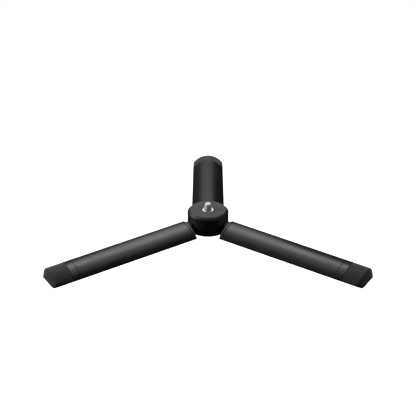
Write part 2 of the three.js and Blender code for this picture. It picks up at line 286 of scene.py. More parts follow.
def acetalMaterial(name, spec):
    material, tree, shader = newMaterial(name, 0.0, spec["rough"][0])
    shader.inputs["Subsurface Weight"].default_value = 0.15
    shader.inputs["Subsurface Radius"].default_value = (0.001, 0.001, 0.0008)
    place = objectPlace(tree)
    cloud = noise(tree, place, 2.5, 3)
    grain = noise(tree, place, 0.15, 2)
    first, second = spec["tones"]
    tone = blendTones(tree, remap(tree, cloud, 0.4, 0.7, 0, 1), first, second)
    tree.links.new(tone, shader.inputs["Base Color"])
    tree.links.new(remap(tree, grain, 0.3, 0.7, *spec["rough"]), shader.inputs["Roughness"])
    tree.links.new(bump(tree, grain, 0.004), shader.inputs["Normal"])
    return material


def floorMaterial():
    material, tree, shader = newMaterial("palePaper", 0.0, 0.9, 0.1)
    fibre = noise(tree, objectPlace(tree), 3, 3)
    tone = floorSpec["tone"]
    slightly = tuple(part * 0.985 for part in tone[:3]) + (1,)
    paper = blendTones(tree, fibre, tone, slightly)
    tree.links.new(paper, shader.inputs["Base Color"])
    tree.links.new(paper, shader.inputs["Emission Color"])
    shader.inputs["Emission Strength"].default_value = floorSpec["glow"]
    return material


materials = {name: mouldedMaterial(name, spec) for name, spec in mouldedFinishes.items()}
materials.update({name: metalMaterial(name, spec) for name, spec in metalFinishes.items()})
materials["anodised"] = anodisedMaterial("anodised", anodisedSpec)
materials["acetal"] = acetalMaterial("acetal", acetalSpec)
print("materials made:", ", ".join(sorted(materials)))


def makeFloor():
    low = -floorSpec["below"] * mm
    half = floorSpec["size"] / 2
    corners = [(-half, -half, low), (half, -half, low), (half, half, low), (-half, half, low)]
    mesh = bpy.data.meshes.new("floor")
    mesh.from_pydata(corners, [], [(0, 1, 2, 3)])
    floor = bpy.data.objects.new("floor", mesh)
    mesh.materials.append(floorMaterial())
    floor.visible_glossy = False  # the black parts then mirror the dark studio, not the paper
    floor.visible_diffuse = False
    bpy.context.scene.collection.objects.link(floor)


makeFloor()


# A shape is a dictionary of points in mm, faces, wear and painted highlight (0 to 1 for each point) and
# flow, the distance along and around a leg. Shapes are added up, placed and then made into one mesh.
def emptyShape():
    return {"points": [], "faces": [], "wear": [], "flow": []}


def addShape(target, other):
    start = len(target["points"])
    target["points"] += other["points"]
    target["faces"] += [tuple(start + corner for corner in face) for face in other["faces"]]
    target["wear"] += other["wear"]
    target["flow"] += other["flow"]
    return target


def moveShape(shape, matrix):
    shape["points"] = [matrix @ Vector(point) for point in shape["points"]]
    return shape


def makePiece(name, shape, material, crease=creases["solid"]):
    mesh = bpy.data.meshes.new(name)
    mesh.from_pydata([tuple(Vector(point) * mm) for point in shape["points"]], [], shape["faces"])
    mesh.update()
    wear = mesh.attributes.new("wear", "FLOAT", "POINT")
    wear.data.foreach_set("value", shape["wear"])
    flow = mesh.attributes.new("flow", "FLOAT_VECTOR", "POINT")
    flow.data.foreach_set("vector", [part * mm for pair in shape["flow"] for part in (*pair, 0)])
    mesh.materials.append(materials[material])
    mesh.shade_smooth()
    mesh.set_sharp_from_angle(angle=math.radians(crease))
    piece = bpy.data.objects.new(name, mesh)
    bpy.context.scene.collection.objects.link(piece)
    return piece


def finishPiece(piece, body, slot, *replaced):
    weighted = piece.modifiers.new("evenShading", "WEIGHTED_NORMAL")
    weighted.keep_sharp = True
    settle(piece)
    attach(piece, body)
    if replaced:
        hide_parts(*replaced)


# Rounds the corners of an outline of (x, y, corner radius) points.
def roundCorners(outline, closed=True, steps=5):
    rounded = []
    count = len(outline)
    for i, (x, y, radius) in enumerate(outline):
        atEnd = not closed and i in (0, count - 1)
        if radius == 0 or atEnd:
            rounded.append(Vector((x, y)))
            continue
        here = Vector((x, y))
        back = (Vector(outline[i - 1][:2]) - here).normalized()
        ahead = (Vector(outline[(i + 1) % count][:2]) - here).normalized()
        half = back.angle(ahead) / 2
        centre = here + (back + ahead).normalized() * (radius / math.sin(half))
        first = here + back * (radius / math.tan(half)) - centre
        last = here + ahead * (radius / math.tan(half)) - centre
        turn = first.angle_signed(last)
        for step in range(steps + 1):
            spin = Matrix.Rotation(-turn * step / steps, 2)
            rounded.append(centre + spin @ first)
    return rounded


# A turned shape about Z from (radius, height, corner radius) points, listed upwards on the outside.
def turnedShape(outline, closed=False, segments=96):
    profile = roundCorners(outline, closed)
    sharpness = []
    for i, point in enumerate(profile):
        before = profile[i - 1]
        after = profile[(i + 1) % len(profile)]
        bend = (point - before).angle(after - point, 0) if 0 < i < len(profile) - 1 or closed else 0
        sharpness.append(1.0 if bend > 0.08 else 0.0)
    shape = emptyShape()
    rings = []
    for (radius, height), wornAndHighlit in zip(profile, sharpness):
        start = len(shape["points"])
        if radius < 1e-6:
            shape["points"].append((0, 0, height))
            rings.append([start] * segments)
        else:
            for step in range(segments):
                angle = 2 * math.pi * step / segments
                shape["points"].append((radius * math.cos(angle), radius * math.sin(angle), height))
            rings.append(list(range(start, start + segments)))
        added = len(shape["points"]) - start
        shape["wear"] += [wornAndHighlit] * added
        shape["flow"] += [(height, radius)] * added
    pairs = list(zip(rings, rings[1:]))
    if closed:
        pairs.append((rings[-1], rings[0]))
    for lower, upper in pairs:
        for step in range(segments):
            after = (step + 1) % segments
            face = [lower[step], lower[after], upper[after], upper[step]]
            face = [corner for i, corner in enumerate(face) if corner != face[i - 1]]
            if len(face) > 2:
                shape["faces"].append(tuple(face))
    return shape


# Loops of points skinned one after another, with both ends closed; each loop runs anticlockwise
# seen from the last.
def loftShape(loops):
    shape = emptyShape()
    count = len(loops[0])
    for loop in loops:
        for point, wornAndHighlit, around in loop:
            shape["points"].append(point)
            shape["wear"].append(wornAndHighlit)
            shape["flow"].append((point[0], around))
    for i in range(len(loops) - 1):
        for j in range(count):
            k = (j + 1) % count
            shape["faces"].append((i * count + j, i * count + k, (i + 1) * count + k, (i + 1) * count + j))
    shape["faces"].append(tuple(reversed(range(count))))
    shape["faces"].append(tuple(range((len(loops) - 1) * count, len(loops) * count)))
    return shape


# Moves an anticlockwise outline inwards, with mitred corners.
def offsetOutline(outline, distance):
    moved = []
    for i, point in enumerate(outline):
        before = (point - outline[i - 1]).normalized()
        after = (outline[(i + 1) % len(outline)] - point).normalized()
        inward = Vector((-before.y - after.y, before.x + after.x))
        length = max(inward.length, 1e-6)
        reach = distance / max(0.5, length / 2)
        moved.append(point + inward / length * reach)
    return moved


# A plate from an anticlockwise outline, with rounded rims: low and high along its own Z.
def plateShape(outline, low, high, rim, steps=3):
    quarter = []
    for step in range(steps + 1):
        angle = math.pi / 2 * step / steps
        quarter.append((rim * (1 - math.cos(angle)), rim * (1 - math.sin(angle))))
    levels = [(low + rise, inset) for rise, inset in quarter]
    levels += [(high - rise, inset) for rise, inset in reversed(quarter)]
    loops = []
    for height, inset in levels:
        wornAndHighlit = 1.0 if 0 < inset < rim else 0.0
        ring = offsetOutline(outline, inset)
        loops.append([((point.x, point.y, height), wornAndHighlit, 0.0) for point in ring])
    return loftShape(loops)


def cutWith(piece, cutters):
    for cutter in cutters:
        modifier = piece.modifiers.new("cut", "BOOLEAN")
        modifier.operation = "DIFFERENCE"
        modifier.solver = "EXACT"
        modifier.object = cutter
    settle(piece, cutters)
    piece.data.set_sharp_from_angle(angle=math.radians(creases["solid"]))
    return piece


# Applies a piece's modifiers and removes what they used.
def settle(piece, helpers=()):
    graph = bpy.context.evaluated_depsgraph_get()
    mesh = bpy.data.meshes.new_from_object(piece.evaluated_get(graph))
    old = piece.data
    piece.modifiers.clear()
    piece.data = mesh
    mesh.name = piece.name
    bpy.data.meshes.remove(old)
    for helper in helpers:
        bpy.data.meshes.remove(helper.data)


# Geometry Nodes: a tree with named inputs, and an object baked from it
def newTree(name, inputs):
    tree = bpy.data.node_groups.new(name, "GeometryNodeTree")
    tree.interface.new_socket("Geometry", in_out="INPUT", socket_type="NodeSocketGeometry")
    sockets = {}
    for label, kind in inputs.items():
        sockets[label] = tree.interface.new_socket(label, in_out="INPUT", socket_type=kind).identifier
    tree.interface.new_socket("Geometry", in_out="OUTPUT", socket_type="NodeSocketGeometry")
    start = tree.nodes.new("NodeGroupInput")
    end = tree.nodes.new("NodeGroupOutput")
    return tree, start.outputs, end.inputs[0], sockets


def endTree(tree, geometry, material, end):
    real = addNode(tree, "GeometryNodeRealizeInstances", {"Geometry": geometry}).outputs[0]
    painted = addNode(tree, "GeometryNodeSetMaterial", {"Geometry": real, "Material": material})
    tree.links.new(painted.outputs[0], end)


def bakeTree(name, tree, sockets, values, places=()):
    mesh = bpy.data.meshes.new(name)
    mesh.from_pydata([tuple(place.translation * mm) for place in places], [], [])
    if places:
        pose = mesh.attributes.new("pose", "FLOAT_VECTOR", "POINT")
        pose.data.foreach_set("vector", [part for place in places for part in place.to_euler()])
    piece = bpy.data.objects.new(name, mesh)
    bpy.context.scene.collection.objects.link(piece)
    modifier = piece.modifiers.new(tree.name, "NODES")
    modifier.node_group = tree
    for label, value in values.items():
        modifier[sockets[label]] = value
    settle(piece)
    piece.data.shade_smooth()
    piece.data.set_sharp_from_angle(angle=math.radians(creases["copies"]))
    return piece


# Sets copies of one piece on points, each turned as its own pose says and then about its own Z.
def setOutTree():
    inputs = {"Piece": "NodeSocketObject", "Surface": "NodeSocketMaterial",
              "Loose turn": "NodeSocketFloat", "Seed": "NodeSocketInt"}
    tree, given, end, sockets = newTree("setOut", inputs)
    info = addNode(tree, "GeometryNodeObjectInfo", {"Object": given["Piece"], "As Instance": True})
    pose = addNode(tree, "GeometryNodeInputNamedAttribute", {"Name": "pose"}, data_type="FLOAT_VECTOR")
    facing = addNode(tree, "FunctionNodeEulerToRotation", {0: pose.outputs["Attribute"]}).outputs[0]
    copies = addNode(tree, "GeometryNodeInstanceOnPoints",
                     {"Points": given["Geometry"], "Instance": info.outputs["Geometry"], "Rotation": facing})
    back = calculate(tree, "MULTIPLY", given["Loose turn"], -1.0)
    chance = addNode(tree, "FunctionNodeRandomValue",
                     {2: back, 3: given["Loose turn"], "Seed": given["Seed"]}, data_type="FLOAT").outputs[1]
    turn = addNode(tree, "ShaderNodeCombineXYZ", {"Z": chance}).outputs[0]
    turned = addNode(tree, "GeometryNodeRotateInstances",
                     {"Instances": copies.outputs[0], "Rotation": turn, "Local Space": True})
    endTree(tree, turned.outputs[0], given["Surface"], end)
    return tree, sockets


setOut, setOutSockets = setOutTree()


def setCopies(name, piece, places, material, looseTurn=0.0, seed=1):
    values = {"Piece": piece, "Surface": materials[material], "Loose turn": looseTurn, "Seed": seed}
    return bakeTree(name, setOut, setOutSockets, values, places)


def dropPiece(piece):
    bpy.data.meshes.remove(piece.data)


screwSpec = {
    "head": 2.1,
    "shank": 1.0,
    "cone": 1.1,
    "crossLength": 2.3,
    "crossWidth": 0.55,
    "crossDepth": 0.8,
}


# A countersunk cross-head screw: its face is at Z = 0 and its shank runs down.
def makeScrew(length):
    head = screwSpec["head"]
    shank = screwSpec["shank"]
    outline = [(0, -length, 0), (shank * 0.5, -length, 0), (shank, -length + 0.5, 0),
               (shank, -screwSpec["cone"], 0.1), (head, -0.12, 0.05), (head - 0.1, 0, 0.05), (0, 0, 0)]
    screw = makePiece("screw", turnedShape(outline, segments=48), "steel")
    cutters = []
    for turn in (0, 90):
        long = screwSpec["crossLength"] / 2
        wide = screwSpec["crossWidth"] / 2
        bar = [Vector((-long, -wide)), Vector((long, -wide)), Vector((long, wide)), Vector((-long, wide))]
        slot = plateShape(bar, -screwSpec["crossDepth"], 0.5, 0.02, 1)
        slot = moveShape(slot, Matrix.Rotation(math.radians(turn), 4, "Z"))
        cutters.append(makePiece("cutter", slot, "steel"))
    return cutWith(screw, cutters)


# The countersunk seat that a screw is let into, cut upwards from Z = 0.
def screwSink(mouth, depth):
    throat = 2.3
    outline = [(0, -1, 0), (mouth, -1, 0), (mouth, 0, 0), (throat, 0.3, 0), (throat, depth, 0), (0, depth, 0)]
    return turnedShape(outline, segments=40)


# Legs, in mm. Heights in a section are measured from the axis of the folded grip, and
# distances along a leg from the hinge block's end face.
legSpec = {
    "tilt": 4.1,
    "blockReach": 6.45,  # from the pivot to the block's end face
    "radius": 18,
    "side": 14.6,  # half the width
    "gap": 0.3,  # between folded legs, to the middle of the gap
    "floor": 6.9,  # height of the flat underside
    "collar": 2.75,
    "seam": 0.25,
    "shellEnd": 110.2,
    "bandEnd": 116.75,
    "shellWall": 1.5,
    "linerPlay": 0.2,
    "arcSteps": 40,
    "cornerSteps": 5,
    "soft": 0.55,  # rounding of the long edges
    "linerSoft": 0.4,
    "seamRound": 0.22,  # rounding beside the seams
    "collarRound": 0.35,
}
flankAngle = math.radians(60)  # half of one leg's third of the grip


def legAxes(name):
    across = Vector(joints[name]["axis"])
    return across, Vector((across.y, -across.x, 0))  # the hinge's axis and the way out from the hub


def legMatrix(name):
    across, outward = legAxes(name)
    tilt = math.radians(legSpec["tilt"])
    along = outward * math.cos(tilt) - Vector((0, 0, math.sin(tilt)))
    normal = along.cross(across)
    matrix = Matrix((along, across, normal)).transposed().to_4x4()
    matrix.translation = Vector(joints[name]["pos_m"]) / mm
    return matrix


def pivotRadius(name):
    return Vector(joints[name]["pos_m"]).xy.length / mm


def flankWidth(height, gap):
    return (height * math.sin(flankAngle) - gap) / math.cos(flankAngle)


def flankHeight(side, gap):
    return (side * math.cos(flankAngle) + gap) / math.sin(flankAngle)


# The right half of a section, from the middle of the floor to the crown: (y, height, wear).
def halfSection(radius, side, gap, floor, soft):
    fans = legSpec["cornerSteps"]
    coreRadius = radius - soft
    coreSide = side - soft
    coreGap = gap + soft
    coreFloor = floor + soft
    edge = math.asin(coreSide / coreRadius)
    corners = [
        (flankWidth(coreFloor, coreGap), coreFloor, -90, -60),
        (coreSide, flankHeight(coreSide, coreGap), -60, 0),
        (coreSide, coreRadius * math.cos(edge), 0, 90 - math.degrees(edge)),
    ]
    half = []
    for y, height, first, last in corners:
        for step in range(fans + 1):
            turn = math.radians(first + (last - first) * step / fans)
            wornAndHighlit = math.sin(math.pi * step / fans)
            half.append((y + soft * math.cos(turn), height + soft * math.sin(turn), wornAndHighlit))
    steps = legSpec["arcSteps"] // 2
    for step in range(1, steps + 1):
        angle = edge * (1 - step / steps)
        half.append((radius * math.sin(angle), radius * math.cos(angle), 0.0))
    return half


# A closed loop at one place along the leg, from its right half.
def mirrorLoop(along, half, pivot, wornMore=0.0):
    travelled = [0.0]
    for (y0, z0, _), (y1, z1, _) in zip(reversed(half[1:]), reversed(half[:-1])):
        travelled.append(travelled[-1] + math.hypot(y1 - y0, z1 - z0))
    travelled.reverse()
    right = [((along, y, z - pivot), max(wornAndHighlit, wornMore), far) for (y, z, wornAndHighlit), far in zip(half, travelled)]
    left = [((x, -y, z), wornAndHighlit, -far) for (x, y, z), wornAndHighlit, far in reversed(right[:-1])]
    return right + left


# Stations of a piece with rounded ends: (distance, inset, wear).
def roundedEnds(start, end, rounding, steps=4):
    first = []
    for step in range(steps + 1):
        angle = math.pi / 2 * step / steps
        wornAndHighlit = math.sin(math.pi * step / steps)
        first.append((rounding * (1 - math.cos(angle)), rounding * (1 - math.sin(angle)), wornAndHighlit))
    stations = [(start + distance, inset, wornAndHighlit) for distance, inset, wornAndHighlit in first]
    return stations + [(end - distance, inset, wornAndHighlit) for distance, inset, wornAndHighlit in reversed(first)]


# A solid third of the grip, between two places along the leg.
def sectorShape(start, end, pivot, inset=0.0, rounding=legSpec["seamRound"], soft=legSpec["soft"]):
    loops = []
    for along, more, wornAndHighlit in roundedEnds(start, end, rounding):
        half = halfSection(legSpec["radius"] - inset - more, legSpec["side"] - inset - more,
                           legSpec["gap"] + more, legSpec["floor"] + more, soft)
        loops.append(mirrorLoop(legSpec["blockReach"] + along, half, pivot, wornAndHighlit))
    return loftShape(loops)


# The arched shell, open below.
def shellShape(pivot):
    wall = legSpec["shellWall"]
    radius = legSpec["radius"]
    side = legSpec["side"]
    gap = legSpec["gap"]
    innerEdge = math.asin((side - wall) / (radius - wall))
    steps = legSpec["arcSteps"] // 2
    loops = []
    start = legSpec["collar"] + legSpec["seam"]
    for along, more, wornAndHighlit in roundedEnds(start, legSpec["shellEnd"], legSpec["seamRound"]):
        half = halfSection(radius - more, side - more, gap + more, 0, legSpec["soft"])
        outer = half[legSpec["cornerSteps"] + 1:]  # without the floor's corner
        # the inner edge of the lip gets 0.4 of the edge tone: partly wear, partly a painted highlight along
        # the lower lip
        inner = [(side - wall, flankHeight(side - wall, gap + more), 0.4)]
        for step in range(steps + 1):
            angle = innerEdge * (1 - step / steps)
            inner.append(((radius - wall) * math.sin(angle), (radius - wall) * math.cos(angle), 0.0))
        x = legSpec["blockReach"] + along
        outerLoop = mirrorLoop(x, outer, pivot, wornAndHighlit)
        innerLoop = mirrorLoop(x, inner, pivot)
        loops.append(outerLoop + list(reversed(innerLoop)))
    return loftShape(loops)


footSpec = {
    "tip": 134.8,
    "floor": 4.8,
    "crown": {"length": 2.3, "depth": 8.9, "power": 1.09},  # how the arch turns down to the end face
    "sides": {"length": 5.4, "depth": 5.9, "power": 1.5},  # how the sides turn in to the end face
    "blend": 1.8,  # softens the turn from the arch to the end face
    "blendSamples": 4,  # on either side
    "bulge": 0.0055,  # the end face falls back towards the sides, per mm from the middle, squared
    "floorRise": 3.2,
    "softUnder": 0.9,
    "softShoulder": 3.6,
    "shoulderFrom": 7,  # mm before the tip, where the shoulders begin to grow softer
    "shoulderOver": 6,
    "endZone": 9,  # mm before the tip, where the close stations begin
    "crowding": 1.6,
    "stations": 30,
}


# How far the foot's surface has dropped at a place along the leg, averaged over a short stretch.
def tipInset(spec, along):
    samples = footSpec["blendSamples"]
    total = 0.0
    for part in range(-samples, samples + 1):
        shifted = along + part / samples * footSpec["blend"] / 2
        step = max(0.0, min(1.0, 1 - (footSpec["tip"] - shifted) / spec["length"]))
        total += 1 - (1 - step ** spec["power"]) ** (1 / spec["power"])
    return spec["depth"] * total / (2 * samples + 1)


def footLoop(along, pivot, inset, wornAndHighlit):
    radius = legSpec["radius"] - inset
    side = legSpec["side"] - inset - tipInset(footSpec["sides"], along)
    crown = footSpec["crown"]
    floor = footSpec["floor"] + inset + footSpec["floorRise"] * tipInset(crown, along) / crown["depth"]
    gap = legSpec["gap"] + inset
    under = footSpec["softUnder"]
    coreSide = side - under
    low = min(flankWidth(floor + under, gap + under), coreSide - 0.02)
    lip = max(flankHeight(coreSide, gap + under), floor + under + 0.02)
    fans = legSpec["cornerSteps"]
    half = []
    for y, height, first, last in ((low, floor + under, -90, -60), (coreSide, lip, -60, 0)):
        for step in range(fans + 1):
            turn = math.radians(first + (last - first) * step / fans)
            point = (y + under * math.cos(turn), height + under * math.sin(turn))
            half.append((*point, math.sin(math.pi * step / fans)))
    near = (along - footSpec["tip"] + footSpec["shoulderFrom"]) / footSpec["shoulderOver"]
    near = min(1.0, max(0.0, near))
    soft = legSpec["soft"] + (footSpec["softShoulder"] - legSpec["soft"]) * near
    coreRadius = radius - soft
    coreSide = side - soft
    edge = math.asin(coreSide / coreRadius)
    arch = []
    shoulderSteps = 8
    for step in range(shoulderSteps + 1):
        turn = (math.pi / 2 - edge) * step / shoulderSteps
        height = coreRadius * math.cos(edge) + soft * math.sin(turn)
        arch.append((coreSide + soft * math.cos(turn), height, math.sin(math.pi * step / shoulderSteps)))
    steps = legSpec["arcSteps"] // 2
    for step in range(1, steps + 1):
        angle = edge * (1 - step / steps)
        arch.append((radius * math.sin(angle), radius * math.cos(angle), 0.0))
    for y, height, roundness in arch:
        squash = 1 - tipInset(crown, along + footSpec["bulge"] * y ** 2) / radius
        half.append((y, max(height * squash, lip + 0.02), roundness))
    return mirrorLoop(legSpec["blockReach"] + along, half, pivot, wornAndHighlit)


def footShape(pivot):
    start = legSpec["bandEnd"] + legSpec["seam"]
    ends = roundedEnds(start, footSpec["tip"], legSpec["seamRound"])
    loops = []
    for along, inset, wornAndHighlit in ends[:len(ends) // 2]:  # only the end beside the band
        loops.append(footLoop(along, pivot, inset, wornAndHighlit))
    for step in range(footSpec["stations"] + 1):
        share = step / footSpec["stations"]
        along = footSpec["tip"] - footSpec["endZone"] * (1 - share) ** footSpec["crowding"]
        loops.append(footLoop(along, pivot, 0.0, 0.0))
    return loftShape(loops)


def roundedBar(length, width, corner):
    long = length / 2
    wide = width / 2
    outline = [(-long, -wide, corner), (long, -wide, corner), (long, wide, corner), (-long, wide, corner)]
    return roundCorners(outline)


grooveSpec = {"first": 119.4, "every": 2.3, "count": 5, "length": 15, "width": 0.9, "depth": 0.5}


# Bars that cut the grooves into the sole, level with the ground.
def soleGrooves(name, ground):
    outline = roundedBar(grooveSpec["length"], grooveSpec["width"], 0.4)
    bar = makePiece("bar", plateShape(outline, -1, grooveSpec["depth"], 0.05), "footRubber")
    across, outward = legAxes(name)
    barAxes = Matrix((across, -outward, Vector((0, 0, 1)))).transposed().to_4x4()
    tilt = math.radians(legSpec["tilt"])
    places = []
    for i in range(grooveSpec["count"]):
        along = (legSpec["blockReach"] + grooveSpec["first"] + i * grooveSpec["every"]) * math.cos(tilt)
        middle = outward * (pivotRadius(name) + along) + Vector((0, 0, ground))
        places.append(Matrix.Translation(middle) @ barAxes)
    grooves = setCopies("grooves", bar, places, "footRubber")
    dropPiece(bar)
    return grooves


tongueSpec = {"knuckle": 4, "width": 8.2, "rim": 0.35, "root": 0.6, "arcSteps": 24}


# The tongue between block and hub, with its round end about the pivot.
def tongueShape():
    knuckle = tongueSpec["knuckle"]
    end = legSpec["blockReach"] + tongueSpec["root"]
    outline = [Vector((end, -knuckle)), Vector((end, knuckle))]
    for step in range(tongueSpec["arcSteps"] + 1):
        turn = math.radians(90 + 180 * step / tongueSpec["arcSteps"])
        outline.append(Vector((knuckle * math.cos(turn), knuckle * math.sin(turn))))
    half = tongueSpec["width"] / 2
    shape = plateShape(outline, -half, half, tongueSpec["rim"])
    return moveShape(shape, Matrix.Rotation(math.radians(90), 4, "X"))


linerSpec = {
    "recessStart": 17,
    "recessEnd": 96,
    "recessHalf": 8.6,
    "recessDepth": 0.7,
    "recessCorner": 2.5,
    "ribEvery": 7.2,
    "ribWidth": 1.1,
    "ribHeight": 0.55,
    "ribRoot": 0.2,  # how deep a rib sits in the recess's floor
    "ribShort": 1.2,  # how much shorter it is than the recess is wide
    "ribMargin": 6,  # free length of the recess, at both ends together
    "screws": ((10, 0), (103, 0)),  # along the leg, across it
    "screwDrop": 0.15,
    "screwLength": 5.2,
    "sinkMouth": 2.75,
    "sinkDepth": 1.6,
    "seed": 3,
}


def floorLevel(pivot):
    return legSpec["floor"] - pivot


def linerCutters(pivot, place):
    spec = linerSpec
    level = floorLevel(pivot)
    length = spec["recessEnd"] - spec["recessStart"]
    recess = plateShape(roundedBar(length, spec["recessHalf"] * 2, spec["recessCorner"]),
                        level - 1, level + spec["recessDepth"], 0.3)
    middle = legSpec["blockReach"] + (spec["recessStart"] + spec["recessEnd"]) / 2
    shapes = [moveShape(recess, Matrix.Translation((middle, 0, 0)))]
    for along, across in spec["screws"]:
        sink = screwSink(spec["sinkMouth"], spec["sinkDepth"])
        shapes.append(moveShape(sink, Matrix.Translation((legSpec["blockReach"] + along, across, level))))
    return [makePiece("cutter", moveShape(shape, place), "linerBlack") for shape in shapes]


def makeLinerRibs(name, pivot, place):
    spec = linerSpec
    outline = roundedBar(spec["recessHalf"] * 2 - spec["ribShort"], spec["ribWidth"], 0.5)
    rib = plateShape(outline, 0, spec["ribHeight"] + spec["ribRoot"], 0.2)
    rib = makePiece("rib", moveShape(rib, Matrix.Rotation(math.radians(90), 4, "Z")), "linerBlack")
    inward = spec["recessDepth"] + spec["ribRoot"]
    count = int((spec["recessEnd"] - spec["recessStart"] - spec["ribMargin"]) / spec["ribEvery"]) + 1
    first = (spec["recessStart"] + spec["recessEnd"] - (count - 1) * spec["ribEvery"]) / 2
    over = Matrix.Rotation(math.radians(180), 4, "X")
    places = []
    for i in range(count):
        along = legSpec["blockReach"] + first + i * spec["ribEvery"]
        places.append(place @ Matrix.Translation((along, 0, floorLevel(pivot) + inward)) @ over)
    ribs = setCopies(f"{name}LegRibs", rib, places, "linerBlack")
    dropPiece(rib)
    finishPiece(ribs, f"{name}_leg", "inner_black")


def makeLegScrews(name, pivot, place):
    screw = makeScrew(linerSpec["screwLength"])
    over = Matrix.Rotation(math.radians(180), 4, "X")
    level = floorLevel(pivot) + linerSpec["screwDrop"]
    places = [place @ Matrix.Translation((legSpec["blockReach"] + along, across, level)) @ over
              for along, across in linerSpec["screws"]]
    seed = linerSpec["seed"] + legNames.index(name)
    screws = setCopies(f"{name}LegScrews", screw, places, "steel", math.pi, seed)
    dropPiece(screw)
    finishPiece(screws, f"{name}_leg", "steel", f"{name}_block_screw", f"{name}_plug_screw")


def makeLeg(name):
    pivot = pivotRadius(name)
    place = legMatrix(name)
    body = f"{name}_leg"
    shell = makePiece(f"{name}LegShell", moveShape(shellShape(pivot), place), "anodised")
    finishPiece(shell, body, "shell_black", f"{name}_leg_shell")
    band = sectorShape(legSpec["shellEnd"] + legSpec["seam"], legSpec["bandEnd"], pivot)
    band = makePiece(f"{name}LegBand", moveShape(band, place), "anodised")
    finishPiece(band, body, "shell_black", f"{name}_leg_band")
    collar = sectorShape(0, legSpec["collar"], pivot, rounding=legSpec["collarRound"])
    collar = addShape(collar, tongueShape())
    block = makePiece(f"{name}HingeBlock", moveShape(collar, place), "blockBlack")
    finishPiece(block, body, "block_black", f"{name}_hinge_block")
    liner = sectorShape(legSpec["collar"] + legSpec["seam"], legSpec["shellEnd"], pivot,
                        inset=legSpec["shellWall"] + legSpec["linerPlay"], soft=legSpec["linerSoft"])
    liner = makePiece(f"{name}LegLiner", moveShape(liner, place), "linerBlack")
    cutWith(liner, linerCutters(pivot, place))
    makeLinerRibs(name, pivot, place)
    makeLegScrews(name, pivot, place)
    finishPiece(liner, body, "inner_black", f"{name}_leg_liner")
    foot = makePiece(f"{name}RubberFoot", moveShape(footShape(pivot), place), "footRubber", creases["foot"])
    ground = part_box(f"{name}_rubber_foot")[0].z
    for vertex in foot.data.vertices:  # the sole lies flat on the ground
        vertex.co.z = max(vertex.co.z, ground)
    cutWith(foot, [soleGrooves(name, ground / mm)])
    finishPiece(foot, body, "foot_rubber", f"{name}_rubber_foot")


for legName in legNames:
    makeLeg(legName)
    print(legName, "leg made")


hubSpec = {
    "radius": 18,
    "rim": 18.2,  # height of the top edge
    "topBevel": 1.7,
    "footBevel": 1.15,
    "padRadius": 15.75,
    "padHole": 5.9,
    "padPlay": 0.15,
    "padSunk": 0.75,
    "coverRadius": 15.8,
    "coverThickness": 2,
    "slotWidth": 10.4,
    "slotRoom": 4.4,  # about the pivot
    "slotReach": 14,  # outwards and down from the pivot, past the hub's skin
}


def hubProfile():
    radius = hubSpec["radius"]
    rim = hubSpec["rim"]
    bevel = hubSpec["topBevel"]
    foot = hubSpec["footBevel"]
    recess = hubSpec["padRadius"] + hubSpec["padPlay"]
    seat = rim - hubSpec["padSunk"]
    return [
        (0, hubSpec["coverThickness"] + 0.1, 0),
        (hubSpec["coverRadius"] + 0.2, hubSpec["coverThickness"] + 0.1, 0),
        (hubSpec["coverRadius"] + 0.2, 0, 0.1),
        (radius - foot, 0, 0.3),
        (radius, foot, 0.5),
        (radius, rim - bevel, 0.3),
        (radius - bevel, rim, 0.2),
        (recess, rim, 0.1),
        (recess, seat, 0),
        (0, seat, 0),
    ]


# Cuts the slot that a leg's tongue swings in: flat roof, round back, open outwards and below.
def slotCutter(name):
    room = hubSpec["slotRoom"]
    reach = hubSpec["slotReach"]
    half = hubSpec["slotWidth"] / 2
    top = room - 0.15
    backSteps = 16
    outline = [Vector((reach, -reach)), Vector((reach, top))]
    for step in range(backSteps + 1):
        turn = math.radians(90 + 90 * step / backSteps)
        outline.append(Vector((room * math.cos(turn), min(top, room * math.sin(turn)))))
    outline.append(Vector((-room, -reach)))
    shape = plateShape(outline, -half, half, 0.01, 1)
    shape = moveShape(shape, Matrix.Rotation(math.radians(90), 4, "X"))
    across, outward = legAxes(name)
    level = Matrix((outward, across, Vector((0, 0, 1)))).transposed().to_4x4()
    level.translation = Vector(joints[name]["pos_m"]) / mm
    return makePiece("cutter", moveShape(shape, level), "hubBlack")


def makeHub():
    body = makePiece("hubBody", turnedShape(hubProfile(), segments=144), "hubBlack")
    cutWith(body, [slotCutter(name) for name in legNames])
    finishPiece(body, "hub", "hub_black", "hub_body")
    low, top = (corner.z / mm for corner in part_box("top_pad"))
    hole = hubSpec["padHole"]
    outer = hubSpec["padRadius"]
    profile = [(hole, low, 0), (outer, low, 0), (outer, top, 0.25), (hole, top, 0.15)]
    pad = makePiece("cameraSeat", turnedShape(profile, closed=True, segments=128), "seatRubber")
    finishPiece(pad, "hub", "pad_grey", "top_pad")


makeHub()
print("hub made")


flangeSpec = {"radius": 5.1, "bore": 3.3, "rim": 0.25}


def makeFlange():
    low, high = (corner.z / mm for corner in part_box("stud_flange"))
    bore = flangeSpec["bore"]
    radius = flangeSpec["radius"]
    profile = [(bore, low, 0), (radius, low, 0), (radius, high, flangeSpec["rim"]), (bore, high, 0.3)]
    flange = makePiece("studFlange", turnedShape(profile, closed=True), "nickel")
    finishPiece(flange, "hub", "nickel", "stud_flange")


makeFlange()


studSpec = {
    "Major radius": 3.175 * mm,
    "Minor radius": 2.42 * mm,
    "Pitch": 1.27 * mm,
    "Tip radius": 2.4 * mm,
    "Tip length": 0.8 * mm,
}


